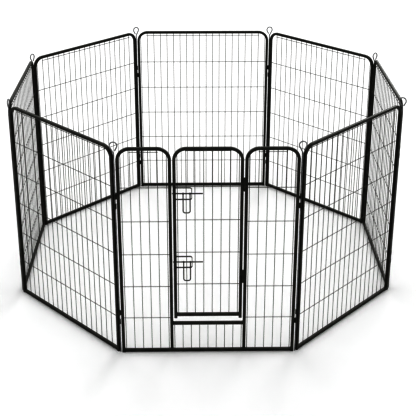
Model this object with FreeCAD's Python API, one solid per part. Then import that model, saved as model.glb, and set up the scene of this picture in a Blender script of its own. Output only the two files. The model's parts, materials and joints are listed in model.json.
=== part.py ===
import FreeCAD, Part
import math
import os

# A folding pet playpen: eight panels of square steel tube and wire, joined at the corners by
# lift-out pins. The front panel has a door with two slide bolts. Millimetres, +Z up, and the
# origin is on the floor at the middle of the pen. Each panel is drawn about its own centre,
# standing along X with its outer side facing -Y, and is then turned into its place.

# Ring
PANEL_PITCH = 800.0       # pin axis to pin axis of one panel
PANEL_HEIGHT = 1000.0
OBLIQUE_HEADING = 48.0    # degrees between the front panel and each panel beside it

# Frame tube, bent over at the top corners
TUBE = 13.0
TUBE_WALL = 1.0
TUBE_CORNER = 1.5         # outer edge rounding
BEND_RADIUS = 52.0        # centre line
PIN_TO_STILE = 14.0       # pin axis to the stile's centre line
RAIL_LIFT = 3.0           # floor to the underside of the bottom rail

# Foot plugs in the open ends of the stiles
FOOT_THICKNESS = 1.5
FOOT_STEM = 12.0
FOOT_PLAY = 0.1           # stem to tube wall

# Wire grid, standing a little towards the inside of the pen
WIRE_RADIUS = 1.2
UPRIGHT_OFFSET = 2.8      # centre plane of the tube to an upright wire
WIRE_INSET = 13.0         # stile centre line to the outermost upright
PANEL_UPRIGHTS = 20
CROSS_HEIGHTS = (175.0, 334.5, 494.0, 653.5, 813.0)
TOP_WIRE_HEIGHT = 976.0
TOP_WIRE_OVERHANG = 3.0   # past the second upright from each side

# Front panel: two bays with the doorway between them
BAY_STILE = 164.5         # panel centre to the doorway stile's centre line
BAY_UPRIGHTS = 6
SILL_HEIGHT = 150.0       # centre line of the sill rail
SILL_UPRIGHTS = 9

# Door
DOOR_STILE = 145.5        # panel centre to the door stile's centre line
DOOR_RAIL_HEIGHT = 195.0  # centre line of the door's bottom rail
DOOR_STILE_END = 179.5
DOOR_UPRIGHTS = 8
DOOR_CROSS_HEIGHTS = (347.0, 505.0, 661.5, 819.0)
DOOR_TOP_WIRE_HEIGHT = 982.0

# Corner pins and the hinge loops that they drop through
PIN_RADIUS = 2.5
PIN_CLEARANCE = 0.3
PIN_TIP = 1.0             # above the floor
EYE_NECK = 974.0          # where the pin leaves its own axis
EYE_CENTRE = 1008.0
EYE_RADIUS = 16.0
EYE_NECK_BEND = 12.0
EYE_TAIL = 18.0           # straight end of the eye, which stays open
LOOP_RADIUS = 5.0
LOOP_LENGTH = 24.0
LOOP_WEB = 5.0
LEFT_LOOP_HEIGHTS = (205.0, 775.0)
RIGHT_LOOP_HEIGHTS = (160.0, 730.0)

# Door hinges: a bored barrel on the frame, a barrel with a fixed pin above it on the door
HINGE_X = 155.0
HINGE_Y = -12.0
HINGE_RADIUS = 4.5
HINGE_BASES = (362.0, 803.0)
BARREL_LENGTH = 30.0
BARREL_GAP = 1.0
HINGE_PIN_RADIUS = 2.2
HINGE_PIN_CLEARANCE = 0.3
HINGE_PIN_LENGTH = 26.0
HINGE_WEB_NEAR = 1.0      # from the hinge axis, across the panel
HINGE_WEB_FAR = 8.0

# Slide bolts, drawn back at rest, with their tips in the gap beside the door
BOLT_RADIUS = 2.5
BOLT_CLEARANCE = 0.3
BOLT_LENGTH = 133.0
BOLT_TRAVEL = 19.0
BOLT_STAND_THROUGH = 3.5  # past the doorway stile when shot
BOLT_Y = -2.7
BOLT_CHAMFER = 0.6
BOLT_HEIGHTS = (461.0, 789.0)
BRACKET_THICKNESS = 2.5
BRACKET_WIDTH = 8.0
BRACKET_ARM = 27.0        # bolt axis to the middle of each arm
BRACKET_REACH = 75.0      # door stile's centre line to the web
BRACKET_BEND = 8.0
HANDLE_RADIUS = 2.25
HANDLE_LENGTH = 83.75     # bolt axis to the middle of the grip
HANDLE_SPAN = 30.0        # leg to leg
HANDLE_FIRST_LEG = 18.7   # door stile's centre line to the first leg, when shot
HANDLE_BEND = 9.0
HANDLE_LEAN = 15.0        # degrees outward, resting on the bracket's lower arm
SLEEVE_RADIUS = 3.9
SLEEVE_LENGTH = 7.0

# Worked out from the above
STILE = PANEL_PITCH / 2 - PIN_TO_STILE
RAIL_HEIGHT = RAIL_LIFT + TUBE / 2
RAIL_TOP = RAIL_LIFT + TUBE
TOP_LINE = PANEL_HEIGHT - TUBE / 2
CROSS_OFFSET = UPRIGHT_OFFSET + 2 * WIRE_RADIUS
HANDLE_REACH = HANDLE_LENGTH * math.sin(math.radians(HANDLE_LEAN)) + HANDLE_RADIUS - BOLT_Y
RING_SHIFT = (HANDLE_REACH - TUBE / 2) / 2    # centres the pen, handles included, on the origin
FRONT_LINE = RING_SHIFT - PANEL_PITCH * (0.5 + math.sin(math.radians(OBLIQUE_HEADING)))

# Panels in order round the pen, each starting at the corner named in the same place
PANELS = ("front", "right_front", "right", "back_right", "back", "back_left", "left", "left_front")
CORNERS = (
    "front_left", "front_right", "right_fore", "right_aft",
    "back_right", "back_left", "left_aft", "left_fore",
)
EYE_TURNS = (0.0, 0.0, -30.0, 40.0, 190.0, 210.0, 60.0, 85.0)
HEADINGS = (
    0.0, OBLIQUE_HEADING, 90.0, 180.0 - OBLIQUE_HEADING,
    180.0, 180.0 + OBLIQUE_HEADING, 270.0, 360.0 - OBLIQUE_HEADING,
)

X_AXIS = FreeCAD.Vector(1, 0, 0)
Z_AXIS = FreeCAD.Vector(0, 0, 1)


def point(x, y, z):
    return FreeCAD.Vector(x, y, z)


def save(node, solids, placement):
    """Write the solids of one node, in their place in the pen."""
    shape = solids[0].copy() if len(solids) == 1 else Part.makeCompound(solids)
    shape.Placement = placement.multiply(shape.Placement)
    shape.exportStep("parts/" + node + ".step")


def evenly(low, high, count):
    step = (high - low) / (count - 1)
    return [low + i * step for i in range(count)]


def rounded_path(points, radius):
    """Straight runs through the points, with a tangent arc at each turn."""
    edges = []
    start = points[0]
    for before, corner, after in zip(points, points[1:], points[2:]):
        inward = (corner - before).normalize()
        outward = (after - corner).normalize()
        turn = inward.getAngle(outward)
        setback = radius * math.tan(turn / 2)
        first = corner - inward * setback
        last = corner + outward * setback
        centre_way = (outward - inward).normalize()
        centre = corner + centre_way * (radius / math.cos(turn / 2))
        middle = centre - centre_way * radius
        edges.append(Part.makeLine(start, first))
        edges.append(Part.Arc(first, middle, last).toShape())
        start = last
    edges.append(Part.makeLine(start, points[-1]))
    return Part.Wire(edges)


def rounded_square(size, corner):
    """A closed outline about the origin, in the XY plane."""
    half = size / 2
    flat = half - corner
    edges = []
    for quarter in range(4):
        turn = FreeCAD.Rotation(Z_AXIS, 90 * quarter)
        low = turn.multVec(point(half, -flat, 0))
        high = turn.multVec(point(half, flat, 0))
        bulge = flat + corner * math.sqrt(0.5)
        middle = turn.multVec(point(bulge, bulge, 0))
        end = turn.multVec(point(flat, half, 0))
        edges.append(Part.makeLine(low, high))
        edges.append(Part.Arc(high, middle, end).toShape())
    return Part.Wire(edges)


def circle(radius):
    return Part.Wire(Part.makeCircle(radius))


def rectangle(width, height):
    corners = [
        point(-width / 2, -height / 2, 0),
        point(width / 2, -height / 2, 0),
        point(width / 2, height / 2, 0),
        point(-width / 2, height / 2, 0),
    ]
    return Part.makePolygon(corners + corners[:1])


def sweep(section, path, start, way):
    """A solid of one section along a path that starts at a point, in a direction."""
    outline = section.copy()
    outline.Placement = FreeCAD.Placement(start, FreeCAD.Rotation(Z_AXIS, way))
    return path.makePipeShell([outline], True, False)


def solid_bar(points, radius=BEND_RADIUS):
    """The outer shape of a run of frame tube."""
    path = rounded_path(points, radius)
    section = rounded_square(TUBE, TUBE_CORNER)
    return sweep(section, path, points[0], points[1] - points[0])


def tube(points, radius=BEND_RADIUS):
    path = rounded_path(points, radius)
    hollow = rounded_square(TUBE - 2 * TUBE_WALL, TUBE_CORNER - TUBE_WALL)
    inside = sweep(hollow, path, points[0], points[1] - points[0])
    return solid_bar(points, radius).cut(inside)


def arch_points(left, right, left_foot, right_foot):
    return [
        point(left, 0, left_foot),
        point(left, 0, TOP_LINE),
        point(right, 0, TOP_LINE),
        point(right, 0, right_foot),
    ]


def rail_points(left, right, height):
    return [point(left, 0, height), point(right, 0, height)]


def upright(x, low, high):
    return Part.makeCylinder(WIRE_RADIUS, high - low, point(x, UPRIGHT_OFFSET, low))


def cross_wire(left, right, height):
    return Part.makeCylinder(WIRE_RADIUS, right - left, point(left, CROSS_OFFSET, height), X_AXIS)


def grid(left, right, foot, frame, count, heights, top_height):
    """Wires between two stiles, cut to the shape of the tube where they meet it."""
    lines = evenly(left + WIRE_INSET, right - WIRE_INSET, count)
    wires = [upright(x, foot, TOP_LINE).cut(frame) for x in lines]
    wires += [cross_wire(left, right, z).cut(frame) for z in heights]
    top_left = lines[1] - TOP_WIRE_OVERHANG
    top_right = lines[-2] + TOP_WIRE_OVERHANG
    wires.append(cross_wire(top_left, top_right, top_height))
    return [max(wire.Solids, key=lambda piece: piece.Volume) for wire in wires]


def foot_plugs():
    """A pad under each outer stile, with a stem up inside the tube."""
    head = Part.Face(rounded_square(TUBE, TUBE_CORNER)).extrude(Z_AXIS * FOOT_THICKNESS)
    stem_size = TUBE - 2 * (TUBE_WALL + FOOT_PLAY)
    stem = Part.Face(rounded_square(stem_size, TUBE_CORNER - TUBE_WALL))
    plug = head.fuse(stem.extrude(Z_AXIS * (FOOT_THICKNESS + FOOT_STEM))).removeSplitter()
    plugs = []
    for x in (-STILE, STILE):
        placed = plug.Solids[0].copy()
        placed.translate(point(x, 0, 0))
        plugs.append(placed)
    return plugs


def hinge_loops():
    """Short barrels beside the stiles, higher on the left than on the right."""
    loops = []
    for side, heights in ((-1, LEFT_LOOP_HEIGHTS), (1, RIGHT_LOOP_HEIGHTS)):
        axis_x = side * PANEL_PITCH / 2
        face_x = side * (STILE + TUBE / 2)
        for height in heights:
            base = height - LOOP_LENGTH / 2
            barrel = Part.makeCylinder(LOOP_RADIUS, LOOP_LENGTH, point(axis_x, 0, base))
            corner = point(min(axis_x, face_x), -LOOP_WEB / 2, base)
            web = Part.makeBox(abs(axis_x - face_x), LOOP_WEB, LOOP_LENGTH, corner)
            bore = Part.makeCylinder(PIN_RADIUS + PIN_CLEARANCE, LOOP_LENGTH, point(axis_x, 0, base))
            loops.append(barrel.fuse(web).cut(bore).removeSplitter().Solids[0])
    return loops


def corner_pin(turn):
    """A rod bent at the top into an open teardrop eye."""
    reach = EYE_CENTRE - EYE_NECK
    spread = math.asin(EYE_RADIUS / reach)
    side = EYE_RADIUS * math.cos(spread)
    side_height = EYE_CENTRE - EYE_RADIUS * math.sin(spread)
    foot = point(0, 0, PIN_TIP)
    neck = point(0, 0, EYE_NECK)
    left = point(-side, 0, side_height)
    right = point(side, 0, side_height)
    top = point(0, 0, EYE_CENTRE + EYE_RADIUS)
    tail = right + (neck - right).normalize() * EYE_TAIL
    shank = rounded_path([foot, neck, left], EYE_NECK_BEND)
    edges = shank.Edges + [Part.Arc(left, top, right).toShape(), Part.makeLine(right, tail)]
    pin = sweep(circle(PIN_RADIUS), Part.Wire(edges), foot, Z_AXIS)
    pin.rotate(point(0, 0, 0), Z_AXIS, turn)
    return pin


def plain_panel():
    """The nodes of a panel with no door: tube, rail, wires, loops and plugs."""
    arch = arch_points(-STILE, STILE, FOOT_THICKNESS, FOOT_THICKNESS)
    inner_face = STILE - TUBE / 2
    frame = solid_bar(arch)
    wires = grid(-STILE, STILE, RAIL_TOP, frame, PANEL_UPRIGHTS, CROSS_HEIGHTS, TOP_WIRE_HEIGHT)
    return {
        "frame_tube": [tube(arch)],
        "bottom_rail": [tube(rail_points(-inner_face, inner_face, RAIL_HEIGHT))],
        "wire_grid": wires,
        "hinge_loops": hinge_loops(),
        "foot_plugs": foot_plugs(),
    }


def barrel_with_web(base, side):
    """A hinge barrel and the web that joins it to the front of a stile, on one side."""
    barrel = Part.makeCylinder(HINGE_RADIUS, BARREL_LENGTH, point(HINGE_X, HINGE_Y, base))
    near = HINGE_X + side * HINGE_WEB_NEAR
    far = HINGE_X + side * HINGE_WEB_FAR
    front = HINGE_Y - HINGE_WEB_NEAR
    depth = -TUBE / 2 - front
    web = Part.makeBox(abs(far - near), depth, BARREL_LENGTH, point(min(near, far), front, base))
    return barrel.fuse(web).removeSplitter()


def frame_barrels():
    bore_radius = HINGE_PIN_RADIUS + HINGE_PIN_CLEARANCE
    barrels = []
    for base in HINGE_BASES:
        bore = Part.makeCylinder(bore_radius, BARREL_LENGTH, point(HINGE_X, HINGE_Y, base))
        barrels.append(barrel_with_web(base, 1).cut(bore).Solids[0])
    return barrels


def door_barrels():
    barrels = []
    for base in HINGE_BASES:
        door_base = base + BARREL_LENGTH + BARREL_GAP
        pin_base = point(HINGE_X, HINGE_Y, door_base - HINGE_PIN_LENGTH)
        pin = Part.makeCylinder(HINGE_PIN_RADIUS, HINGE_PIN_LENGTH, pin_base)
        barrels.append(barrel_with_web(door_base, -1).fuse(pin).Solids[0])
    return barrels


def bolt_holes(left, right):
    """Through holes for both bolts, across the stiles from left to right."""
    radius = BOLT_RADIUS + BOLT_CLEARANCE
    holes = [
        Part.makeCylinder(radius, right - left, point(left, BOLT_Y, z), X_AXIS)
        for z in BOLT_HEIGHTS
    ]
    return Part.makeCompound(holes)


def front_panel():
    """The nodes of the front panel, without its door."""
    inner_face = STILE - TUBE / 2
    doorway = BAY_STILE - TUBE / 2
    left_arch = arch_points(-STILE, -BAY_STILE, FOOT_THICKNESS, RAIL_TOP)
    right_arch = arch_points(BAY_STILE, STILE, RAIL_TOP, FOOT_THICKNESS)
    left_tube = tube(left_arch).cut(bolt_holes(-BAY_STILE - TUBE, -BAY_STILE + TUBE))
    wires = []
    for left, right, arch in ((-STILE, -BAY_STILE, left_arch), (BAY_STILE, STILE, right_arch)):
        wires += grid(
            left, right, RAIL_TOP, solid_bar(arch),
            BAY_UPRIGHTS, CROSS_HEIGHTS, TOP_WIRE_HEIGHT,
        )
    lines = evenly(-BAY_STILE + WIRE_INSET, BAY_STILE - WIRE_INSET, SILL_UPRIGHTS)
    wires += [upright(x, RAIL_TOP, SILL_HEIGHT - TUBE / 2) for x in lines]
    return {
        "left_bay_tube": [left_tube],
        "right_bay_tube": [tube(right_arch)],
        "bottom_rail": [tube(rail_points(-inner_face, inner_face, RAIL_HEIGHT))],
        "sill_rail": [tube(rail_points(-doorway, doorway, SILL_HEIGHT))],
        "wire_grid": wires,
        "hinge_loops": hinge_loops(),
        "foot_plugs": foot_plugs(),
        "door_hinge_barrels": frame_barrels(),
    }


def latch_bracket(height):
    """A bent strip on the inner face of the door's stile, bored for the bolt."""
    root = -DOOR_STILE + TUBE / 2
    web = -DOOR_STILE + BRACKET_REACH
    corners = [
        point(root, BOLT_Y, height + BRACKET_ARM),
        point(web, BOLT_Y, height + BRACKET_ARM),
        point(web, BOLT_Y, height - BRACKET_ARM),
        point(root, BOLT_Y, height - BRACKET_ARM),
    ]
    strip = rectangle(BRACKET_THICKNESS, BRACKET_WIDTH)
    bracket = sweep(strip, rounded_path(corners, BRACKET_BEND), corners[0], X_AXIS)
    bore_start = point(web - BRACKET_WIDTH, BOLT_Y, height)
    bore = Part.makeCylinder(BOLT_RADIUS + BOLT_CLEARANCE, 2 * BRACKET_WIDTH, bore_start, X_AXIS)
    return bracket.cut(bore).Solids[0]


def door():
    """The nodes of the door leaf."""
    arch = arch_points(-DOOR_STILE, DOOR_STILE, DOOR_STILE_END, DOOR_STILE_END)
    inner_face = DOOR_STILE - TUBE / 2
    rail_top = DOOR_RAIL_HEIGHT + TUBE / 2
    frame = solid_bar(arch)
    holes = bolt_holes(-DOOR_STILE - TUBE, -DOOR_STILE + TUBE)
    wires = grid(
        -DOOR_STILE, DOOR_STILE, rail_top, frame,
        DOOR_UPRIGHTS, DOOR_CROSS_HEIGHTS, DOOR_TOP_WIRE_HEIGHT,
    )
    return {
        "frame_tube": [tube(arch).cut(holes)],
        "bottom_rail": [tube(rail_points(-inner_face, inner_face, DOOR_RAIL_HEIGHT))],
        "wire_grid": wires,
        "hinge_barrels": door_barrels(),
        "latch_brackets": [latch_bracket(height) for height in BOLT_HEIGHTS],
    }


def bolt(height):
    tip = -BAY_STILE - TUBE / 2 - BOLT_STAND_THROUGH + BOLT_TRAVEL
    rod = Part.makeCylinder(BOLT_RADIUS, BOLT_LENGTH, point(tip, BOLT_Y, height), X_AXIS)
    return rod.makeChamfer(BOLT_CHAMFER, [e for e in rod.Edges if e.Closed]).Solids[0]


def bolt_handle(height):
    """A wire loop that hangs from the bolt by two sleeves and leans outward."""
    first = -DOOR_STILE + HANDLE_FIRST_LEG + BOLT_TRAVEL
    second = first + HANDLE_SPAN
    corners = [
        point(first, 0, 0),
        point(first, 0, -HANDLE_LENGTH),
        point(second, 0, -HANDLE_LENGTH),
        point(second, 0, 0),
    ]
    handle = sweep(circle(HANDLE_RADIUS), rounded_path(corners, HANDLE_BEND), corners[0], -Z_AXIS)
    for x in (first, second):
        sleeve_start = point(x - SLEEVE_LENGTH / 2, 0, 0)
        handle = handle.fuse(Part.makeCylinder(SLEEVE_RADIUS, SLEEVE_LENGTH, sleeve_start, X_AXIS))
    bore_start = point(first - SLEEVE_LENGTH, 0, 0)
    bore_length = HANDLE_SPAN + 2 * SLEEVE_LENGTH
    bore = Part.makeCylinder(BOLT_RADIUS + BOLT_CLEARANCE, bore_length, bore_start, X_AXIS)
    handle = handle.cut(bore).Solids[0]
    handle.rotate(point(0, 0, 0), X_AXIS, -HANDLE_LEAN)
    handle.translate(point(0, BOLT_Y, height))
    return handle


def walk_round():
    """Each panel's placement and each corner's position, in order round the pen."""
    corner = point(-PANEL_PITCH / 2, FRONT_LINE, 0)
    places, corners = {}, {}
    for panel, name, heading in zip(PANELS, CORNERS, HEADINGS):
        turn = FreeCAD.Rotation(Z_AXIS, heading)
        side = turn.multVec(X_AXIS) * PANEL_PITCH
        corners[name] = corner
        places[panel] = FreeCAD.Placement(corner + side / 2, turn)
        corner = corner + side
    return places, corners


places, corners = walk_round()
plain_nodes = plain_panel()
for panel in PANELS:
    nodes = front_panel() if panel == "front" else plain_nodes
    for node, solids in nodes.items():
        save(panel + "_" + node, solids, places[panel])

for node, solids in door().items():
    save("door_" + node, solids, places["front"])

for level, height in zip(("lower", "upper"), BOLT_HEIGHTS):
    save(level + "_bolt", [bolt(height)], places["front"])
    save(level + "_bolt_handle", [bolt_handle(height)], places["front"])

for name, turn in zip(CORNERS, EYE_TURNS):
    save(name + "_pin", [corner_pin(turn)], FreeCAD.Placement(corners[name], FreeCAD.Rotation()))
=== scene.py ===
# %% [markdown]
# # A folding pet playpen
#
# The pen is a ring of eight welded panels. Each panel is a hoop of square steel tube with a grid of
# wire inside it. The panels hang together on rods that drop through short hinge loops, and one of
# them has a door with two slide bolts. The CAD frame already says where every part is, how it moves
# and what it weighs, so this script gives each part its visible shape and finish, in that same place.
# The frame comes first, because every size below is either read from it or is a small detail of it.

# %% Load the frame
import json
import math

import bmesh
import bpy
from mathutils import Matrix, Vector


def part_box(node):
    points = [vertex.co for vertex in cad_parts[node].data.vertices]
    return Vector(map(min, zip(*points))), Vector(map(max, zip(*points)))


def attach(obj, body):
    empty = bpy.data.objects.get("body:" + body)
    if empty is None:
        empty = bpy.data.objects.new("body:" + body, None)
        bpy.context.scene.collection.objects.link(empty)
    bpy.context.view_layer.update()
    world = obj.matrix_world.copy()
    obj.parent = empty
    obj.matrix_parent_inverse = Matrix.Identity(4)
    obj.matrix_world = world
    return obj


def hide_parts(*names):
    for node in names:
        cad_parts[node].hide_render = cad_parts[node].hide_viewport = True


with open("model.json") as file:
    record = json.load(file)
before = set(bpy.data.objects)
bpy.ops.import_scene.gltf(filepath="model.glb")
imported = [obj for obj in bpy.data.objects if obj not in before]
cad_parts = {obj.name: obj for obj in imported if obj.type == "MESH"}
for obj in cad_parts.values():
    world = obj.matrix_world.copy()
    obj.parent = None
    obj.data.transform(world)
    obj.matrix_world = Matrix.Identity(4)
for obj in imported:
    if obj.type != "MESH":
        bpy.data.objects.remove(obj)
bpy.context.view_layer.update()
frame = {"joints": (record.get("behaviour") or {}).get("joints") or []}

# %% [markdown]
# ## Where the panels stand
#
# A panel is the same thing wherever it stands in the ring, so it is easiest to model it once, upright
# along X with its outer side towards -Y, and to carry it to its place at the end. The middle of each
# corner pin's box is the pin's axis, and two neighbouring axes fix a panel's place and heading.
# The names below run round the pen in the same order as the CAD model's.

# %% Corners and panel places
X_WAY = Vector((1, 0, 0))
Y_WAY = Vector((0, 1, 0))
Z_WAY = Vector((0, 0, 1))
MM = 0.001

PANELS = ("front", "right_front", "right", "back_right", "back", "back_left", "left", "left_front")
CORNERS = (
    "front_left", "front_right", "right_fore", "right_aft",
    "back_right", "back_left", "left_aft", "left_fore",
)


def corner_axis(name):
    """The foot of a corner pin's axis, on the floor."""
    low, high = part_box(name + "_pin")
    return Vector(((low.x + high.x) / 2, (low.y + high.y) / 2, 0))


corners = {name: corner_axis(name) for name in CORNERS}
places = {}
for index, panel in enumerate(PANELS):
    start = corners[CORNERS[index]]
    side = corners[CORNERS[(index + 1) % len(CORNERS)]] - start
    turn = Matrix.Rotation(math.atan2(side.y, side.x), 4, "Z")
    places[panel] = Matrix.Translation(start + side / 2) @ turn
HALF_PITCH = (corners["front_right"] - corners["front_left"]).length / 2
print("pin to pin", round(2 * HALF_PITCH, 4), "m")

# %% [markdown]
# ## Sizes read from the frame
#
# The rails' boxes give the size of the tube and the height of each rail, and the door's and a bay's
# boxes give the lines of the stiles. Reading them, and not typing them again, keeps the visible
# pieces on the CAD parts if the design changes.

# %% Sizes of the tubes
rail_low, rail_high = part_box("front_bottom_rail")
sill_low, sill_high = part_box("front_sill_rail")
door_rail_low, door_rail_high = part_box("door_bottom_rail")
door_low, door_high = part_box("door_frame_tube")
bay_low, bay_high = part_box("front_right_bay_tube")
plug_low, plug_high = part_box("front_foot_plugs")

TUBE = rail_high.z - rail_low.z
RAIL = rail_low.z + TUBE / 2
SILL = sill_low.z + TUBE / 2
DOOR_RAIL = door_rail_low.z + TUBE / 2
TOP = door_high.z - TUBE / 2
STILE = plug_high.x - TUBE / 2
BAY_STILE = bay_low.x + TUBE / 2
DOOR_STILE = door_high.x - TUBE / 2
DOOR_FOOT = door_low.z
FOOT = bay_low.z
TUBE_CORNER = 1.5 * MM
BEND_RADIUS = 52 * MM
BEND_STEPS = 12
print("tube", round(TUBE, 4), "stiles at", round(STILE, 4), round(BAY_STILE, 4), round(DOOR_STILE, 4))

# %% [markdown]
# ## Shader arithmetic
#
# A finish is a small calculation on the place of each point of the surface. Written with node calls
# alone it is long and hard to read, so one class wraps a socket and lets Python's own plus, minus and
# times add the Math nodes. Everything that isn't arithmetic comes from its one `node` method.

# %% A socket with arithmetic
class Flow:
    """One output of a material's nodes."""

    def __init__(self, tree, socket=None):
        self.tree = tree
        self.socket = socket

    def node(self, kind, settings=(), sockets=(), output=0):
        """Add a node: first its settings, then the values or links of its sockets."""
        made = self.tree.nodes.new(kind)
        for name, value in dict(settings).items():
            setattr(made, name, value)
        for name, value in dict(sockets).items():
            if isinstance(value, Flow):
                self.tree.links.new(value.socket, made.inputs[name])
            else:
                made.inputs[name].default_value = value
        return Flow(self.tree, made.outputs[output] if made.outputs else None)

    def maths(self, operation, first, second):
        return self.node("ShaderNodeMath", {"operation": operation}, {0: first, 1: second})

    def __add__(self, other):
        return self.maths("ADD", self, other)

    __radd__ = __add__

    def __sub__(self, other):
        return self.maths("SUBTRACT", self, other)

    def __rsub__(self, other):
        return self.maths("SUBTRACT", other, self)

    def __mul__(self, other):
        return self.maths("MULTIPLY", self, other)

    __rmul__ = __mul__

    def rise(self, low, high):
        """0 below low and 1 above high, with a soft step between them."""
        settings = {"interpolation_type": "SMOOTHSTEP"}
        return self.node("ShaderNodeMapRange", settings, {0: self, 1: low, 2: high})

    def blend(self, first, second):
        """One colour where this is 0 and another where it is 1."""
        return self.node("ShaderNodeMix", {"data_type": "RGBA"}, {0: self, 6: first, 7: second}, 2)


def noise(place, scale, detail=2.0):
    sockets = {"Vector": place, "Scale": scale, "Detail": detail}
    return place.node("ShaderNodeTexNoise", {}, sockets)


def stretched(place, scale):
    """The same place, with each axis made finer or coarser."""
    return place.node("ShaderNodeMapping", {}, {"Vector": place, "Scale": scale})


def bumped(height, depth, strength=1.0, under=None):
    sockets = {"Height": height, "Distance": depth, "Strength": strength}
    if under is not None:
        sockets["Normal"] = under
    return height.node("ShaderNodeBump", {}, sockets)


def finish(name, recipe, **constants):
    """A material whose recipe turns a place on the object into the shader's varied sockets."""
    material = bpy.data.materials.new(name)
    material.use_nodes = True
    tree = material.node_tree
    tree.nodes.clear()
    place = Flow(tree).node("ShaderNodeTexCoord", output=3)
    sockets = {key.replace("_", " "): value for key, value in constants.items()}
    sockets.update(recipe(place))
    shader = place.node("ShaderNodeBsdfPrincipled", {}, sockets)
    shader.node("ShaderNodeOutputMaterial", {}, {"Surface": shader})
    print("finish", name, "has", len(tree.nodes), "nodes")
    return material


# %% [markdown]
# ## Black powder coat
#
# The tubes and wires are sprayed with dry black powder and baked. The film flows a little before it
# sets, which leaves a fine hammered skin: shallow dimples a millimetre or two across, on slower
# waves. It could be modelled in the mesh, but dimples this small belong in a bump. Cloudy changes of
# gloss keep long straight tubes from looking like plastic. What faces up is painted paler: partly a
# trace of dust, as on a pen that stands in a room, and partly a painted sheen that stands in for the
# light the top edges catch.

# %% Powder coat
COAT_DEEP = (0.036, 0.037, 0.031, 1)
COAT_WORN = (0.072, 0.074, 0.063, 1)
# Painted sheen and dust: the paler colour of faces that look up, partly a trace of dust and partly a
# painted highlight of the light they catch.
COAT_DUST_AND_SHEEN = (0.160, 0.163, 0.150, 1)
DIMPLE_SCALE = 620.0
DIMPLE_DEPTH = 0.16 * MM
WAVE_SCALE = 190.0
WAVE_DEPTH = 0.12 * MM
CLOUD_SCALE = 26.0
GRIT_SCALE = 900.0


def upward(place):
    """1 on faces that look at the sky, 0 on walls and undersides."""
    normal = place.node("ShaderNodeNewGeometry", output=1)
    return normal.node("ShaderNodeSeparateXYZ", {}, {0: normal}, 2).rise(0.45, 0.98)


def hammered(place, depth):
    sockets = {"Vector": place, "Scale": DIMPLE_SCALE}
    dimples = place.node("ShaderNodeTexVoronoi", {"feature": "SMOOTH_F1"}, sockets)
    waves = bumped(noise(place, WAVE_SCALE), WAVE_DEPTH, 0.5)
    return bumped(dimples, depth, 0.55, waves)


def coat_recipe(place):
    cloud = noise(place, CLOUD_SCALE, 4.0)
    grit = noise(place, GRIT_SCALE, 3.0)
    # Faces that look up are painted paler: partly dust, partly a painted sheen that stands in for the light
    # their tops catch.
    dust_and_sheen = upward(place) * (0.25 + 0.5 * cloud) * grit.rise(0.35, 0.7)
    colour = cloud.rise(0.35, 0.75).blend(COAT_DEEP, COAT_WORN)
    return {
        "Base Color": dust_and_sheen.blend(colour, COAT_DUST_AND_SHEEN),
        "Roughness": 0.3 + 0.16 * cloud + 0.12 * grit + 0.15 * dust_and_sheen,
        "Normal": hammered(place, DIMPLE_DEPTH),
    }


powder_coat = finish("black_powder_coat", coat_recipe, Specular_IOR_Level=0.34)

# %% [markdown]
# ## Weld beads under the coat
#
# The joints were welded before they were sprayed, so the beads are black too, but rougher: the film
# runs thin over the ripples. A simpler recipe in the coat's own two colours says that, with a deeper
# and coarser bump.

# %% Coated weld
RIPPLE_SCALE = 420.0
RIPPLE_DEPTH = 0.35 * MM


def weld_recipe(place):
    ripple = noise(place, RIPPLE_SCALE, 4.0)
    return {
        "Base Color": ripple.rise(0.4, 0.8).blend(COAT_DEEP, COAT_WORN),
        "Roughness": 0.42 + 0.25 * ripple,
        "Normal": bumped(ripple, RIPPLE_DEPTH, 0.8),
    }


coated_weld = finish("coated_weld_bead", weld_recipe, Specular_IOR_Level=0.34)

# %% [markdown]
# ## Zinc plated rod
#
# The corner pins are bare drawn rod with a thin zinc coat. Drawing leaves faint lines along the rod,
# so the noise is stretched along Z, and the zinc dulls in soft patches. It is a metal, so its colour
# goes to Base Color with Metallic at 1 and the patches mostly change how sharp its reflections are.

# %% Zinc
ZINC_PALE = (0.36, 0.365, 0.37, 1)
ZINC_DULL = (0.20, 0.20, 0.205, 1)
DRAWN_SCALE = 1500.0
DRAWN_STRETCH = (1.0, 1.0, 0.03)
DRAWN_DEPTH = 0.05 * MM
PATCH_SCALE = 55.0


def zinc_recipe(place):
    drawn = noise(stretched(place, DRAWN_STRETCH), DRAWN_SCALE)
    patch = noise(place, PATCH_SCALE, 5.0)
    return {
        "Base Color": (patch * 0.8 + drawn * 0.2).rise(0.35, 0.68).blend(ZINC_PALE, ZINC_DULL),
        "Roughness": 0.3 + 0.2 * patch + 0.1 * drawn,
        "Normal": bumped(drawn, DRAWN_DEPTH, 0.5),
    }


zinc_rod = finish("zinc_plated_rod", zinc_recipe, Metallic=1.0)

# %% [markdown]
# ## Rubbed coat on the bolts
#
# A bolt slides through its bracket each time the door is used, and that polishes the high spots of
# its coat and shows steel at the tip. The wear is a mask: fine noise, cut off higher or lower
# depending on how near the point is to the tip, and the mask then mixes colour, metal and gloss.

# %% Rubbed coat
STEEL_SHOWN = (0.32, 0.32, 0.33, 1)
RUB_LENGTH = 26 * MM
SCRATCH_SCALE = 1100.0
SCRATCH_STRETCH = (0.12, 1.0, 1.0)
bolt_low, bolt_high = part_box("upper_bolt")


def rubbed_recipe(place):
    across = place.node("ShaderNodeSeparateXYZ", {}, {0: place}, 0)
    tip = 1.0 - across.rise(bolt_low.x, bolt_low.x + RUB_LENGTH)
    scratch = noise(stretched(place, SCRATCH_STRETCH), SCRATCH_SCALE, 4.0)
    worn = (scratch + 0.22 * tip).rise(0.66, 0.78)
    coat = coat_recipe(place)
    return {
        "Base Color": worn.blend(coat["Base Color"], STEEL_SHOWN),
        "Metallic": worn,
        "Roughness": coat["Roughness"] - 0.12 * worn,
        "Normal": coat["Normal"],
    }


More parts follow.
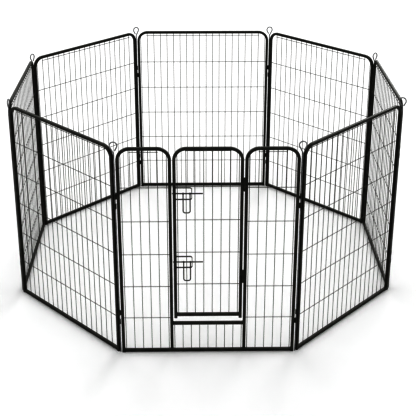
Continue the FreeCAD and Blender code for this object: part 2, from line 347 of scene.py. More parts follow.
rubbed_coat = finish("rubbed_bolt_coat", rubbed_recipe, Specular_IOR_Level=0.34)

# %% [markdown]
# ## Moulded plastic
#
# The plugs that close the open stile ends are black polyethylene, matt and slightly waxy, with the
# even fine grain of a spark-eroded mould.

# %% Plastic
PLASTIC_DARK = (0.012, 0.012, 0.012, 1)
PLASTIC_SCUFFED = (0.035, 0.035, 0.034, 1)
GRAIN_SCALE = 1600.0
GRAIN_DEPTH = 0.06 * MM
SCUFF_SCALE = 140.0


def plastic_recipe(place):
    grain = noise(place, GRAIN_SCALE)
    scuff = noise(place, SCUFF_SCALE, 5.0)
    return {
        "Base Color": scuff.rise(0.5, 0.75).blend(PLASTIC_DARK, PLASTIC_SCUFFED),
        "Roughness": 0.55 + 0.2 * scuff,
        "Normal": bumped(grain, GRAIN_DEPTH, 0.6),
    }


plug_plastic = finish("moulded_plug_plastic", plastic_recipe)

# %% [markdown]
# ## Bars that run and turn
#
# Nearly every piece here is a bar of one section: square tube, round rod, flat strip. A bender feeds
# the bar straight, then turns it about a former, and the mesh is made the same way. It starts as the
# face of the section, `extrude_face_region` runs that face forward, and `spin` turns it about the
# bend's centre. A curve with a bevel would also do it, but its section can't have a rounded edge and
# its bends wouldn't have a stated radius. Both operators are given the face with its edges and
# corners: given the face alone, a run leaves the old end behind as a wall inside the bar.

# %% Running and turning a face
ROD_SIDES = 14


def round_section(bm, radius, sides=ROD_SIDES):
    """A disc about the origin, facing +Z."""
    made = bmesh.ops.create_circle(bm, cap_ends=True, radius=radius, segments=sides)
    return made["verts"][0].link_faces[0]


def box_section(bm, width, depth, corner, steps=3):
    """A rectangle about the origin, facing +Z, with rounded corners."""
    made = bmesh.ops.create_grid(bm, x_segments=1, y_segments=1, size=0.5)
    bmesh.ops.scale(bm, vec=(width, depth, 1), verts=made["verts"])
    rounded = bmesh.ops.bevel(
        bm, geom=made["verts"], offset=corner, segments=steps, profile=0.5, affect="VERTICES", material=-1
    )
    return max({face for vert in rounded["verts"] for face in vert.link_faces}, key=lambda f: f.calc_area())


def aim(bm, face, start, way):
    """Carry a section to its start and face it along the bar."""
    turn = Z_WAY.rotation_difference(way).to_matrix()
    bmesh.ops.rotate(bm, matrix=turn, verts=face.verts)
    bmesh.ops.translate(bm, vec=start, verts=face.verts)
    return face


def run(bm, face, move):
    """Push the end face straight on, and give back the new end."""
    made = bmesh.ops.extrude_face_region(bm, geom=[face, *face.edges, *face.verts])["geom"]
    bmesh.ops.translate(bm, vec=move, verts=[part for part in made if isinstance(part, bmesh.types.BMVert)])
    return next(part for part in made if isinstance(part, bmesh.types.BMFace))


def bend(bm, face, centre, axis, angle, steps=BEND_STEPS):
    """Turn the end face about a bend's centre, and give back the new end."""
    geom = [face, *face.verts, *face.edges]
    made = bmesh.ops.spin(bm, geom=geom, cent=centre, axis=axis, angle=angle, steps=steps, use_merge=False)
    return next(part for part in made["geom_last"] if isinstance(part, bmesh.types.BMFace))


def follow(bm, face, points, radius=BEND_RADIUS, steps=BEND_STEPS):
    """Run a section, already at the first point, through all the points with a bend at each turn."""
    here = points[0]
    for corner, after in zip(points[1:], points[2:]):
        inward = (corner - here).normalized()
        outward = (after - corner).normalized()
        angle = inward.angle(outward)
        axis = inward.cross(outward).normalized()
        first = corner - inward * radius * math.tan(angle / 2)
        face = run(bm, face, first - here)
        face = bend(bm, face, first + axis.cross(inward) * radius, axis, angle, steps)
        here = corner + outward * radius * math.tan(angle / 2)
    return run(bm, face, points[-1] - here)


def square_bar(bm, points):
    """A length of frame tube."""
    section = box_section(bm, TUBE, TUBE, TUBE_CORNER)
    return follow(bm, aim(bm, section, points[0], points[1] - points[0]), points)


def round_bar(bm, points, radius, bend_radius=BEND_RADIUS, sides=ROD_SIDES, steps=8):
    """A length of rod or wire."""
    section = round_section(bm, radius, sides)
    return follow(bm, aim(bm, section, points[0], points[1] - points[0]), points, bend_radius, steps)


# %% [markdown]
# ## From a bmesh to a piece
#
# Runs and spins leave some faces pointing inwards, so doubles are merged and the normals worked out
# again while the shell is closed. The piece is then shaded smooth except across its real edges, and
# its place goes into the mesh, so that the object itself stays at the origin unturned. That matters
# for the finishes: they read the place of each point in the object's own space.

# %% Making pieces
SHARP_ANGLE = math.radians(38)
MERGE_DISTANCE = 0.001 * MM
tally = {}


def shaped(bm):
    """The finished mesh of a bmesh, with normals outward."""
    bmesh.ops.remove_doubles(bm, verts=bm.verts, dist=MERGE_DISTANCE)
    bmesh.ops.recalc_face_normals(bm, faces=bm.faces)
    mesh = bpy.data.meshes.new("shape")
    bm.to_mesh(mesh)
    bm.free()
    mesh.polygons.foreach_set("use_smooth", [True] * len(mesh.polygons))
    mesh.set_sharp_from_angle(angle=SHARP_ANGLE)
    return mesh


def piece(name, mesh, place, body, slot, material, nodes=()):
    """One visible piece, in its place, riding on its body."""
    own = mesh.copy()
    own.transform(place)
    own.materials.clear()
    own.materials.append(material)
    made = bpy.data.objects.new(name, own)
    bpy.context.scene.collection.objects.link(made)
    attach(made, body)
    if nodes:
        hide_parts(*nodes)
    tally[name] = sum(len(polygon.vertices) - 2 for polygon in own.polygons)
    return made


def said(title, names):
    print(title, len(names), "pieces", sum(tally[name] for name in names), "triangles")


# %% [markdown]
# ## Holes for the bolts
#
# Each bolt goes through both walls of two stiles and through the web of its bracket. A hole across a
# bar is the one shape here that the run-and-turn way can't give, so a drill is made as a cylinder and
# a Boolean modifier takes it away. The result is read back as a plain mesh and the drill is removed.

# %% Drilling
def drilled(mesh, holes):
    """The mesh less a round hole along X for each (start, length, radius)."""
    bm = bmesh.new()
    for start, length, radius in holes:
        follow(bm, aim(bm, round_section(bm, radius, 24), start, X_WAY), [start, start + X_WAY * length])
    drill = bpy.data.objects.new("drill", shaped(bm))
    work = bpy.data.objects.new("work", mesh)
    for thing in (drill, work):
        bpy.context.scene.collection.objects.link(thing)
    cut = work.modifiers.new("holes", "BOOLEAN")
    cut.operation = "DIFFERENCE"
    cut.solver = "EXACT"
    cut.object = drill
    bpy.context.view_layer.update()
    result = bpy.data.meshes.new_from_object(work.evaluated_get(bpy.context.evaluated_depsgraph_get()))
    bpy.data.objects.remove(work)
    bpy.data.objects.remove(drill)
    result.set_sharp_from_angle(angle=SHARP_ANGLE)
    return result

# %% [markdown]
# ## Hoops and rails
#
# A hoop is one tube, bent over twice, and the rails are straight lengths of the same tube welded
# between its stiles. Only the two stiles beside the bolts need holes. A plain panel's tube and rail
# are made once and copied round the ring, which is also how they are made in a workshop.

# %% Frame tubes
def arch(left, right, left_foot, right_foot):
    """A hoop between two stile lines."""
    corners_of_hoop = [(left, left_foot), (left, TOP), (right, TOP), (right, right_foot)]
    bm = bmesh.new()
    square_bar(bm, [Vector((x, 0, z)) for x, z in corners_of_hoop])
    return shaped(bm)


def rail(half_length, height):
    bm = bmesh.new()
    square_bar(bm, [Vector((-half_length, 0, height)), Vector((half_length, 0, height))])
    return shaped(bm)


def hole_line(stile, bolt):
    """A hole for one bolt, right through a stile."""
    low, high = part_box(bolt)
    axis = Vector((stile - TUBE, (low.y + high.y) / 2 - FRONT_LINE, (low.z + high.z) / 2))
    return axis, 2 * TUBE, (high.z - low.z) / 2 + BOLT_CLEARANCE


FRONT_LINE = places["front"].translation.y
BOLT_CLEARANCE = 0.3 * MM
BOLTS = ("lower_bolt", "upper_bolt")
COAT = ("black_powder_coat", powder_coat)
PLAIN_PANELS = PANELS[1:]

plain_hoop = arch(-STILE, STILE, FOOT, FOOT)
long_rail = rail(STILE - TUBE / 2, RAIL)
frames = []
for panel in PLAIN_PANELS:
    frames.append(panel + "_frame_tube_coated")
    piece(frames[-1], plain_hoop, places[panel], panel + "_panel", *COAT, [panel + "_frame_tube"])
for panel in PANELS:
    frames.append(panel + "_bottom_rail_coated")
    piece(frames[-1], long_rail, places[panel], panel + "_panel", *COAT, [panel + "_bottom_rail"])

front = places["front"]
left_hoop = drilled(
    arch(-STILE, -BAY_STILE, FOOT, rail_high.z), [hole_line(-BAY_STILE, bolt) for bolt in BOLTS]
)
door_hoop = drilled(
    arch(-DOOR_STILE, DOOR_STILE, DOOR_FOOT, DOOR_FOOT), [hole_line(-DOOR_STILE, bolt) for bolt in BOLTS]
)
right_hoop = arch(BAY_STILE, STILE, rail_high.z, FOOT)
sill = rail(BAY_STILE - TUBE / 2, SILL)
door_rail = rail(DOOR_STILE - TUBE / 2, DOOR_RAIL)
for node, mesh, body in (
    ("front_left_bay_tube", left_hoop, "front_panel"),
    ("front_right_bay_tube", right_hoop, "front_panel"),
    ("front_sill_rail", sill, "front_panel"),
    ("door_frame_tube", door_hoop, "door_leaf"),
    ("door_bottom_rail", door_rail, "door_leaf"),
):
    frames.append(node + "_coated")
    piece(frames[-1], mesh, front, body, *COAT, [node])
said("frame tubes and rails:", frames)

# %% [markdown]
# ## Wire grids
#
# The upright wires run from the rail up into the hoop, and the cross wires lie behind them. At each
# crossing two electrodes pressed the wires together until they fused, and that leaves a small flat
# nugget, which the coat rounds over. A nugget is made hundreds of times, so it is a ball of only a
# few faces, pressed flat. The outermost uprights are shorter, because they meet the hoop's bend.

# %% Wires and nuggets
WIRE_RADIUS = 1.2 * MM
WIRE_SIDES = 12
UPRIGHT_PLANE = 2.8 * MM
CROSS_PLANE = UPRIGHT_PLANE + 2 * WIRE_RADIUS
WIRE_INSET = 13 * MM
WIRE_BITE = 0.9 * MM
END_NUGGET = (2.0 * MM, 2.0 * MM, 1.2 * MM)
CROSS_NUGGET = (1.7 * MM, 1.2 * MM, 1.7 * MM)
NUGGET_SEGMENTS = 8
NUGGET_RINGS = 5
PANEL_UPRIGHTS = 20
BAY_UPRIGHTS = 6
SILL_UPRIGHTS = 9
DOOR_UPRIGHTS = 8
LOWEST_CROSS = 175 * MM
CROSS_PITCH = 159.5 * MM
CROSS_HEIGHTS = [LOWEST_CROSS + CROSS_PITCH * step for step in range(5)]
DOOR_CROSS_HEIGHTS = [height * MM for height in (347, 505, 661.5, 819)]
TOP_WIRE = 976 * MM
DOOR_TOP_WIRE = 982 * MM
TOP_WIRE_OVERHANG = 3 * MM


def evenly(low, high, count):
    return [low + (high - low) * step / (count - 1) for step in range(count)]


def wire(bm, start, end):
    round_bar(bm, [Vector(start), Vector(end)], WIRE_RADIUS, sides=WIRE_SIDES)


def nugget(bm, centre, size):
    """A blob of fused metal, wider than it is deep."""
    made = bmesh.ops.create_uvsphere(bm, u_segments=NUGGET_SEGMENTS, v_segments=NUGGET_RINGS, radius=1.0)
    bmesh.ops.scale(bm, vec=size, verts=made["verts"])
    bmesh.ops.translate(bm, vec=centre, verts=made["verts"])


def hoop_underside(x, left, right):
    """Where an upright meets the inside of the hoop: the bend near a stile, and the top elsewhere."""
    inner = BEND_RADIUS - TUBE / 2
    in_from_face = min(x - left, right - x) - TUBE / 2
    drop = max(inner - in_from_face, 0)
    return TOP - BEND_RADIUS + math.sqrt(inner ** 2 - drop ** 2)


def grid(bm, left, right, foot, count, heights, top_height):
    """The wires between two stiles, and the nuggets where they are fused."""
    lines = evenly(left + WIRE_INSET, right - WIRE_INSET, count)
    for x in lines:
        top = hoop_underside(x, left, right)
        wire(bm, (x, UPRIGHT_PLANE, foot - WIRE_BITE), (x, UPRIGHT_PLANE, top + WIRE_BITE))
        for z in (foot, top):
            nugget(bm, (x, UPRIGHT_PLANE, z), END_NUGGET)
    face = TUBE / 2 - WIRE_BITE
    for z in heights:
        wire(bm, (left + face, CROSS_PLANE, z), (right - face, CROSS_PLANE, z))
    ends = (lines[1] - TOP_WIRE_OVERHANG, lines[-2] + TOP_WIRE_OVERHANG)
    wire(bm, (ends[0], CROSS_PLANE, top_height), (ends[1], CROSS_PLANE, top_height))
    for z in [*heights, top_height]:
        for x in lines if z != top_height else lines[1:-1]:
            nugget(bm, (x, (UPRIGHT_PLANE + CROSS_PLANE) / 2, z), CROSS_NUGGET)


bm = bmesh.new()
grid(bm, -STILE, STILE, rail_high.z, PANEL_UPRIGHTS, CROSS_HEIGHTS, TOP_WIRE)
plain_grid = shaped(bm)

bm = bmesh.new()
grid(bm, -STILE, -BAY_STILE, rail_high.z, BAY_UPRIGHTS, CROSS_HEIGHTS, TOP_WIRE)
grid(bm, BAY_STILE, STILE, rail_high.z, BAY_UPRIGHTS, CROSS_HEIGHTS, TOP_WIRE)
for x in evenly(WIRE_INSET - BAY_STILE, BAY_STILE - WIRE_INSET, SILL_UPRIGHTS):
    wire(bm, (x, UPRIGHT_PLANE, rail_high.z - WIRE_BITE), (x, UPRIGHT_PLANE, sill_low.z + WIRE_BITE))
    for z in (rail_high.z, sill_low.z):
        nugget(bm, (x, UPRIGHT_PLANE, z), END_NUGGET)
front_grid = shaped(bm)

bm = bmesh.new()
grid(bm, -DOOR_STILE, DOOR_STILE, door_rail_high.z, DOOR_UPRIGHTS, DOOR_CROSS_HEIGHTS, DOOR_TOP_WIRE)
door_grid = shaped(bm)

grids = []
for panel in PLAIN_PANELS:
    grids.append(panel + "_wires_coated")
    piece(grids[-1], plain_grid, places[panel], panel + "_panel", *COAT, [panel + "_wire_grid"])
grids += ["front_wires_coated", "door_wires_coated"]
piece(grids[-2], front_grid, front, "front_panel", *COAT, ["front_wire_grid"])
piece(grids[-1], door_grid, front, "door_leaf", *COAT, ["door_wire_grid"])
said("wire grids:", grids)

# %% [markdown]
# ## Hinge loops
#
# A loop is a short length of thick tube held off the stile by a web, and the loops of two neighbours
# stand one above the other with one rod through both. The barrel starts as an open circle whose edge
# is pushed inwards to make a ring, and the ring is run upwards, so the bore is real. The rims are
# bevelled, because a deburred edge is what catches the light.

# %% Barrels and loops
LOOP_RADIUS = 5 * MM
LOOP_BORE = 2.8 * MM
LOOP_LENGTH = 24 * MM
LOOP_WEB = 5 * MM
LEFT_LOOPS = (205 * MM, 775 * MM)
RIGHT_LOOPS = (160 * MM, 730 * MM)
RIM = 0.5 * MM
RIM_STEPS = 2
BARREL_SIDES = 28


def rims(bm, faces, width=RIM):
    """Bevel the edges where these faces meet sharply."""
    own = [edge for edge in bm.edges if len(edge.link_faces) == 2 and edge.link_faces[0] in faces]
    sharp = [edge for edge in own if edge.calc_face_angle() > SHARP_ANGLE]
    bmesh.ops.bevel(
        bm, geom=sharp, offset=width, segments=RIM_STEPS, profile=0.5, affect="EDGES", material=-1
    )


def barrel(bm, foot, length, radius, bore):
    """A bored upright barrel with bevelled rims."""
    before = set(bm.faces)
    outer = bmesh.ops.create_circle(bm, radius=radius, segments=BARREL_SIDES)["verts"]
    edges = list({edge for vert in outer for edge in vert.link_edges})
    ring = bmesh.ops.extrude_edge_only(bm, edges=edges)["geom"]
    inner = [part for part in ring if isinstance(part, bmesh.types.BMVert)]
    bmesh.ops.scale(bm, vec=(bore / radius, bore / radius, 1), verts=inner)
    bmesh.ops.translate(bm, vec=foot, verts=outer + inner)
    flat = [part for part in ring if isinstance(part, bmesh.types.BMFace)]
    top = bmesh.ops.extrude_face_region(bm, geom=flat)["geom"]
    verts = [part for part in top if isinstance(part, bmesh.types.BMVert)]
    bmesh.ops.translate(bm, vec=Z_WAY * length, verts=verts)
    made = set(bm.faces) - before
    bmesh.ops.recalc_face_normals(bm, faces=list(made))
    rims(bm, made)


def plate(bm, low, high):
    """A small flat plate with eased edges, between two corners."""
    before = set(bm.faces)
    low, high = Vector(low), Vector(high)
    made = bmesh.ops.create_cube(bm, size=1)["verts"]
    bmesh.ops.scale(bm, vec=high - low, verts=made)
    bmesh.ops.translate(bm, vec=(low + high) / 2, verts=made)
    rims(bm, set(bm.faces) - before)


bm = bmesh.new()
for side, heights in ((-1, LEFT_LOOPS), (1, RIGHT_LOOPS)):
    axis = side * HALF_PITCH
    face = side * (STILE + TUBE / 2)
    near = axis - side * LOOP_BORE * 1.2
    for height in heights:
        low = height - LOOP_LENGTH / 2
        barrel(bm, Vector((axis, 0, low)), LOOP_LENGTH, LOOP_RADIUS, LOOP_BORE)
        web = sorted((near, face))
        plate(bm, (web[0], -LOOP_WEB / 2, low + RIM), (web[1], LOOP_WEB / 2, low + LOOP_LENGTH - RIM))
loops = shaped(bm)
loop_pieces = []
for panel in PANELS:
    loop_pieces.append(panel + "_hinge_loops_coated")
    piece(loop_pieces[-1], loops, places[panel], panel + "_panel", *COAT, [panel + "_hinge_loops"])
said("hinge loops:", loop_pieces)

# %% [markdown]
# ## Weld beads
#
# A hand-held torch lays a bead as a row of overlapping drops. Each drop is a small ball, and its size
# swells and shrinks along the row. The row is a loop, so a bead needs only its two ends. Beads
# close the upper and lower edges of each rail where it meets a stile, and both sides of each hinge
# loop's web.

# %% Beads
DROP = 1.5 * MM
DROP_PITCH = 1.7 * MM
DROP_SWELL = 0.12
BEAD_SIDE = TUBE / 2 - TUBE_CORNER


def bead(bm, start, end):
    """A row of drops from one point to another."""
    start, end = Vector(start), Vector(end)
    count = max(2, round((end - start).length / DROP_PITCH) + 1)
    for step in range(count):
        radius = DROP * (1 + DROP_SWELL * math.sin(2.4 * step))
        nugget(bm, start.lerp(end, step / (count - 1)), (radius, radius, radius))


def rail_beads(bm, half_length, height):
    for side in (-1, 1):
        for edge in (-1, 1):
            x = side * half_length
            z = height + edge * TUBE / 2
            bead(bm, (x, -BEAD_SIDE, z), (x, BEAD_SIDE, z))


def panel_beads(bm):
    """The beads that every panel has."""
    rail_beads(bm, STILE - TUBE / 2, RAIL)
    for side, heights in ((-1, LEFT_LOOPS), (1, RIGHT_LOOPS)):
        x = side * (STILE + TUBE / 2)
        for height in heights:
            for y in (-LOOP_WEB / 2, LOOP_WEB / 2):
                reach = LOOP_LENGTH / 2 - DROP
                bead(bm, (x, y, height - reach), (x, y, height + reach))


bm = bmesh.new()
panel_beads(bm)
plain_beads = shaped(bm)
bm = bmesh.new()
panel_beads(bm)
rail_beads(bm, BAY_STILE - TUBE / 2, SILL)
for side in (-1, 1):
    for edge in (-1, 1):
        x = side * (BAY_STILE + edge * TUBE / 2)
        bead(bm, (x, -BEAD_SIDE, rail_high.z), (x, BEAD_SIDE, rail_high.z))
front_beads = shaped(bm)
bm = bmesh.new()
rail_beads(bm, DOOR_STILE - TUBE / 2, DOOR_RAIL)
door_beads = shaped(bm)

bead_pieces = []
for panel in PANELS:
    bead_pieces.append(panel + "_weld_beads")
    mesh = front_beads if panel == "front" else plain_beads
    piece(bead_pieces[-1], mesh, places[panel], panel + "_panel", "black_powder_coat", coated_weld)
bead_pieces.append("door_weld_beads")
piece(bead_pieces[-1], door_beads, front, "door_leaf", "black_powder_coat", coated_weld)
said("weld beads:", bead_pieces)

# %% [markdown]
# ## Door hinges
#
# Each hinge is two weld-on barrels. The lower one is bored and belongs to the frame, the upper one
# carries a fixed pin and belongs to the door, so the door lifts off. They stand in front of the gap,
# and so the door swings only outwards. The hinge's axis is read from the joint.

# %% Hinge barrels
joints = {joint["name"]: joint for joint in frame["joints"]}
hinge = Vector(joints["door_swing"]["pos_m"])
HINGE_AXIS = Vector((hinge.x, hinge.y - FRONT_LINE, 0))
HINGE_RADIUS = 4.5 * MM
HINGE_BORE = 2.5 * MM
HINGE_PIN_RADIUS = 2.2 * MM
HINGE_PIN_LENGTH = 26 * MM
PIN_FIT = 0.2 * MM
BARREL_LENGTH = 30 * MM
BARREL_GAP = 1 * MM
HINGE_WEB = (3 * MM, 8 * MM)
WEB_FRONT = 1 * MM
barrels_low, barrels_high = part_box("front_door_hinge_barrels")
HINGE_FEET = (barrels_low.z, barrels_high.z - BARREL_LENGTH)


def hinge_web(bm, foot, side):
    """The plate that ties a barrel to the front of a stile, and the bead along it."""
    ends = sorted(HINGE_AXIS.x + side * reach for reach in HINGE_WEB)
    front_face = HINGE_AXIS.y - WEB_FRONT
    low = (ends[0], front_face, foot + RIM)
    plate(bm, low, (ends[1], -TUBE / 2, foot + BARREL_LENGTH - RIM))
    far = HINGE_AXIS.x + side * HINGE_WEB[1]
    bead(bm, (far, -TUBE / 2, foot + 2 * DROP), (far, -TUBE / 2, foot + BARREL_LENGTH - 2 * DROP))


bm = bmesh.new()
for foot in HINGE_FEET:
    barrel(bm, HINGE_AXIS + Z_WAY * foot, BARREL_LENGTH, HINGE_RADIUS, HINGE_BORE)
    hinge_web(bm, foot, 1)
frame_barrels = shaped(bm)

bm = bmesh.new()
for foot in HINGE_FEET:
    door_foot = foot + BARREL_LENGTH + BARREL_GAP
    barrel(bm, HINGE_AXIS + Z_WAY * door_foot, BARREL_LENGTH, HINGE_RADIUS, HINGE_PIN_RADIUS - PIN_FIT)
    pin_foot = HINGE_AXIS + Z_WAY * (door_foot - HINGE_PIN_LENGTH)
    pin_head = HINGE_AXIS + Z_WAY * (door_foot + BARREL_LENGTH - RIM)
    round_bar(bm, [pin_foot, pin_head], HINGE_PIN_RADIUS, sides=BARREL_SIDES)
    hinge_web(bm, door_foot, -1)
door_barrels = shaped(bm)

hinge_pieces = ["front_hinge_barrels_coated", "door_hinge_barrels_coated"]
piece(hinge_pieces[0], frame_barrels, front, "front_panel", *COAT, ["front_door_hinge_barrels"])
piece(hinge_pieces[1], door_barrels, front, "door_leaf", *COAT, ["door_hinge_barrels"])
said("door hinges:", hinge_pieces)

# %% [markdown]
# ## Latch brackets
#
# A bracket is a strip of flat bar bent twice into a square U and welded by its ends to the stile. It
# is one run of a rectangular section, then drilled where the bolt comes through its web.

# %% Brackets
BRACKET_THICKNESS = 2.5 * MM
BRACKET_WIDTH = 8 * MM
BRACKET_ARM = 27 * MM
BRACKET_BEND = 8 * MM
BRACKET_BEND_STEPS = 8
STRIP_EDGE = 0.5 * MM
STRIP_EDGE_STEPS = 2
bracket_low, bracket_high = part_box("door_latch_brackets")
BRACKET_ROOT = bracket_low.x
BRACKET_WEB = bracket_high.x - BRACKET_THICKNESS / 2


def bolt_axis(bolt):
    """The middle of a bolt's line, in the front panel's own space: its y and z."""
    low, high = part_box(bolt)
    return (low.y + high.y) / 2 - FRONT_LINE, (low.z + high.z) / 2


bm = bmesh.new()
for bolt in BOLTS:
    y, z = bolt_axis(bolt)
    turns = [(BRACKET_ROOT, BRACKET_ARM), (BRACKET_WEB, BRACKET_ARM)]
    turns += [(x, -rise) for x, rise in reversed(turns)]
    points = [Vector((x, y, z + rise)) for x, rise in turns]
    strip = box_section(bm, BRACKET_THICKNESS, BRACKET_WIDTH, STRIP_EDGE, STRIP_EDGE_STEPS)
    follow(bm, aim(bm, strip, points[0], X_WAY), points, BRACKET_BEND, BRACKET_BEND_STEPS)
holes = [hole_line(BRACKET_WEB, bolt) for bolt in BOLTS]
brackets = drilled(shaped(bm), holes)

bm = bmesh.new()
for bolt in BOLTS:
    y, z = bolt_axis(bolt)
    for side in (-1, 1):
        for edge in (-1, 1):
            height = z + side * BRACKET_ARM + edge * BRACKET_THICKNESS / 2
            half = BRACKET_WIDTH / 2 - DROP
            bead(bm, (BRACKET_ROOT, y - half, height), (BRACKET_ROOT, y + half, height))
bracket_beads = shaped(bm)

latch_pieces = ["latch_brackets_coated", "latch_bracket_beads"]
piece(latch_pieces[0], brackets, front, "door_leaf", *COAT, ["door_latch_brackets"])
piece(latch_pieces[1], bracket_beads, front, "door_leaf", "black_powder_coat", coated_weld)

# %% [markdown]
# ## Bolts and their handles
#
# The bolt is a rod with chamfered ends. Its handle is a wire U whose legs are welded to two sleeves on
# the rod, and it hangs by them, leaning out over the bracket's lower arm. The handle is made hanging
# straight down about the rod's axis, where it is easy to think about, and then leaned and carried up.

# %% Bolts and handles
HANDLE_RADIUS = 2.25 * MM
HANDLE_LENGTH = 83.75 * MM
HANDLE_BEND = 9 * MM
HANDLE_LEAN = math.radians(-15)
SLEEVE_RADIUS = 3.9 * MM
SLEEVE_BORE = 2.8 * MM
SLEEVE_LENGTH = 7 * MM
LEG_START = 3.1 * MM
CHAMFER = 0.6 * MM


def rod(low_x, high_x, radius):
    bm = bmesh.new()
    round_bar(bm, [X_WAY * low_x, X_WAY * high_x], radius, sides=20)
    rims(bm, set(bm.faces), CHAMFER)
    return shaped(bm)


def sleeve(bm, x):
    """A short bored barrel along X."""
    before = set(bm.verts)
    barrel(bm, Z_WAY * (-SLEEVE_LENGTH / 2), SLEEVE_LENGTH, SLEEVE_RADIUS, SLEEVE_BORE)
    made = [vert for vert in bm.verts if vert not in before]
    bmesh.ops.rotate(bm, matrix=Matrix.Rotation(math.pi / 2, 3, "Y"), verts=made)
    bmesh.ops.translate(bm, vec=X_WAY * x, verts=made)


def handle(first, second):
    bm = bmesh.new()
    turns = [(first, LEG_START), (first, HANDLE_LENGTH), (second, HANDLE_LENGTH), (second, LEG_START)]
    points = [Vector((x, 0, -drop)) for x, drop in turns]
    round_bar(bm, points, HANDLE_RADIUS, HANDLE_BEND, sides=18)
    for x in (first, second):
        sleeve(bm, x)
        for side in (-1, 1):
            nugget(bm, (x + side * HANDLE_RADIUS * 0.7, 0, -SLEEVE_RADIUS), (DROP, 1.2 * DROP, 0.7 * DROP))
    return shaped(bm)


for bolt in BOLTS:
    level = bolt.split("_")[0]
    low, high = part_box(bolt)
    y, z = bolt_axis(bolt)
    at_bolt = front @ Matrix.Translation(Vector((0, y, z)))
    radius = (high.z - low.z) / 2
    latch_pieces.append(bolt + "_rod")
    body = level + "_bolt_rod"
    piece(latch_pieces[-1], rod(low.x, high.x, radius), at_bolt, body, COAT[0], rubbed_coat, [bolt])
    grip_low, grip_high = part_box(bolt + "_handle")
    legs = (grip_low.x + SLEEVE_LENGTH / 2, grip_high.x - SLEEVE_LENGTH / 2)
    leaned = at_bolt @ Matrix.Rotation(HANDLE_LEAN, 4, "X")
    latch_pieces.append(bolt + "_handle_coated")
    piece(latch_pieces[-1], handle(*legs), leaned, level + "_handle", *COAT, [bolt + "_handle"])
said("latches:", latch_pieces)

# %% [markdown]
# ## Corner pins
#
# Each pin is one rod, as tall as the panel, whose top is bent round into an open teardrop eye to pull
# it out by. The eye's sides are tangent to its round, so one angle gives every point: the neck's
# distance from the round's centre and the round's radius fix how far the sides spread. Every pin hangs
# in its corner turned a different way, because nothing in the loops stops it turning.

# %% Pins
PIN_RADIUS = 2.5 * MM
PIN_FOOT = 1 * MM
EYE_NECK = 974 * MM
EYE_CENTRE = 1008 * MM
EYE_RADIUS = 16 * MM
EYE_NECK_BEND = 12 * MM
EYE_TAIL = 18 * MM
EYE_STEPS = 24
PIN_SIDES = 16
EYE_TURNS = (0, 0, -30, 40, 190, 210, 60, 85)

spread = math.asin(EYE_RADIUS / (EYE_CENTRE - EYE_NECK))
eye_side = Vector((EYE_RADIUS * math.cos(spread), 0, EYE_CENTRE - EYE_RADIUS * math.sin(spread)))
neck = Z_WAY * EYE_NECK
bm = bmesh.new()
section = aim(bm, round_section(bm, PIN_RADIUS, PIN_SIDES), Z_WAY * PIN_FOOT, Z_WAY)
left_side = Vector((-eye_side.x, 0, eye_side.z))
section = follow(bm, section, [Z_WAY * PIN_FOOT, neck, left_side], EYE_NECK_BEND, 6)
section = bend(bm, section, Z_WAY * EYE_CENTRE, Y_WAY, math.pi + 2 * spread, EYE_STEPS)
run(bm, section, (neck - eye_side).normalized() * EYE_TAIL)
rims(bm, set(bm.faces), CHAMFER)
pin = shaped(bm)

pin_pieces = []
for name, turn in zip(CORNERS, EYE_TURNS):
    pin_pieces.append(name + "_pin_plated")
    place = Matrix.Translation(corners[name]) @ Matrix.Rotation(math.radians(turn), 4, "Z")
    nodes = [name + "_pin"]
    piece(pin_pieces[-1], pin, place, name + "_corner_pin", "zinc_plated_rod", zinc_rod, nodes)
said("corner pins:", pin_pieces)

# %% [markdown]
# ## Plugs in the stile ends
#
# A moulded plug keeps water out of each open stile and stops the tube from scratching the floor. What
# shows is its head, as wide as the tube; the stem goes up inside. The door's stiles end above the
# floor and have plugs too.

# %% Plugs
STEM_INSET = 1.2 * MM
STEM_LENGTH = 8 * MM
DOOR_PLUG = 1.2 * MM
PLUG_EDGE = 0.4 * MM


def plug(bm, x, foot, head):
    """A plug's head, and a stem inside the tube."""
    section = box_section(bm, TUBE, TUBE, TUBE_CORNER)
    before = set(bm.faces) - {section}
    section = run(bm, aim(bm, section, Vector((x, 0, foot)), Z_WAY), Z_WAY * head)
    bmesh.ops.inset_region(bm, faces=[section], thickness=STEM_INSET)
    run(bm, section, Z_WAY * STEM_LENGTH)
    made = set(bm.faces) - before
    bmesh.ops.recalc_face_normals(bm, faces=list(made))
    rims(bm, made, PLUG_EDGE)


bm = bmesh.new()
for x in (-STILE, STILE):
    plug(bm, x, 0, FOOT)
foot_plugs = shaped(bm)
bm = bmesh.new()
for x in (-DOOR_STILE, DOOR_STILE):
    plug(bm, x, DOOR_FOOT - DOOR_PLUG, DOOR_PLUG)
door_plugs = shaped(bm)

PLASTIC = ("black_plastic", plug_plastic)
plug_pieces = []
for panel in PANELS:
    plug_pieces.append(panel + "_plugs_moulded")
    nodes = [panel + "_foot_plugs"]
    piece(plug_pieces[-1], foot_plugs, places[panel], panel + "_panel", *PLASTIC, nodes)
plug_pieces.append("door_plugs_moulded")
piece(plug_pieces[-1], door_plugs, front, "door_leaf", *PLASTIC)
said("plugs:", plug_pieces)

# %% [markdown]
# ## Floor, light and view
#
# The pen stands on a plain pale floor in an even white studio. A white world lights it from all round
# and does most of the work. Two soft lamps stand low behind the pen, a stronger one on the right and
# a weaker one on the left. The tops of the rails are seen at a shallow angle and mirror them, and
# their long weak shadows tie the feet to the floor. They are suns with a wide angle, because a sun
# lights the whole floor evenly and an area lamp would leave the floor's corners grey.
#
# Thin dark wires on a bright ground are lost if the picture adds up light evenly, so the display gamma
# is low, which keeps their weight as the eye gives it. For the same reason the light only just brings
# the open floor to full white: more would eat into the wires. The view is that of someone standing a
# few steps back from the door.

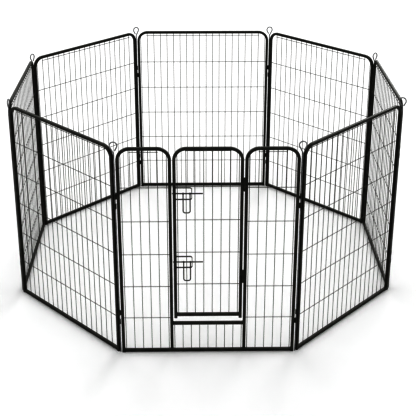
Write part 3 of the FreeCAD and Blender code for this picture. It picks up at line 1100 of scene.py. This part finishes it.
# %% Floor
FLOOR_SIZE = 60.0
FLOOR_PALE = (0.90, 0.90, 0.90, 1)
FLOOR_CLOUD = (0.885, 0.885, 0.885, 1)


def floor_recipe(place):
    return {"Base Color": noise(place, 0.7, 3.0).blend(FLOOR_PALE, FLOOR_CLOUD)}


bm = bmesh.new()
bmesh.ops.create_grid(bm, x_segments=1, y_segments=1, size=FLOOR_SIZE / 2)
floor = bpy.data.objects.new("floor", shaped(bm))
floor.data.materials.append(finish("pale_floor", floor_recipe, Roughness=0.9, Specular_IOR_Level=0.1))
bpy.context.scene.collection.objects.link(floor)

# %% Light
WORLD_STRENGTH = 1.09
DISPLAY_GAMMA = 0.42
LAMP_HEIGHT = math.radians(19)
# Each lamp's power, its heading round from +Y and the angle that it fills, in degrees.
LAMPS = {"right_lamp": (0.95, 20, 20), "left_lamp": (0.4, -22, 20)}

world = bpy.data.worlds.new("studio")
world.use_nodes = True
world.node_tree.nodes["Background"].inputs["Color"].default_value = (1, 1, 1, 1)
world.node_tree.nodes["Background"].inputs["Strength"].default_value = WORLD_STRENGTH
bpy.context.scene.world = world
bpy.context.scene.view_settings.view_transform = "Standard"
bpy.context.scene.view_settings.gamma = DISPLAY_GAMMA

for name, (power, heading, spread_angle) in LAMPS.items():
    light = bpy.data.lights.new(name, "SUN")
    light.energy = power
    light.angle = math.radians(spread_angle)
    stands = Matrix.Rotation(-math.radians(heading), 3, "Z") @ Matrix.Rotation(LAMP_HEIGHT, 3, "X") @ Y_WAY
    lamp = bpy.data.objects.new(name, light)
    lamp.rotation_euler = stands.to_track_quat("Z", "Y").to_euler()
    bpy.context.scene.collection.objects.link(lamp)
print("lamps", ", ".join(LAMPS))

# %% View
VIEW_PLACE = Vector((-0.067, -5.007, 2.497))
VIEW_DOWN = math.radians(23.833)
VIEW_HEADING = math.radians(0.945)
VIEW_ROLL = math.radians(0.072)
LENS = 88.13

camera = bpy.data.cameras.new("view")
camera.lens = LENS
camera.sensor_width = 36.0
camera_object = bpy.data.objects.new("view", camera)
aimed = Matrix.Rotation(-VIEW_HEADING, 4, "Z") @ Matrix.Rotation(math.pi / 2 - VIEW_DOWN, 4, "X")
camera_object.matrix_world = Matrix.Translation(VIEW_PLACE) @ aimed @ Matrix.Rotation(VIEW_ROLL, 4, "Z")
bpy.context.scene.collection.objects.link(camera_object)
bpy.context.scene.camera = camera_object

# %% [markdown]
# ## Measure and finish
#
# The visible pieces must fill the same box as the CAD model. This cell prints how many pieces there are and
# how many triangles they have.

# %% Sizes and finish
print("pieces", len(tally), "triangles", sum(tally.values()))
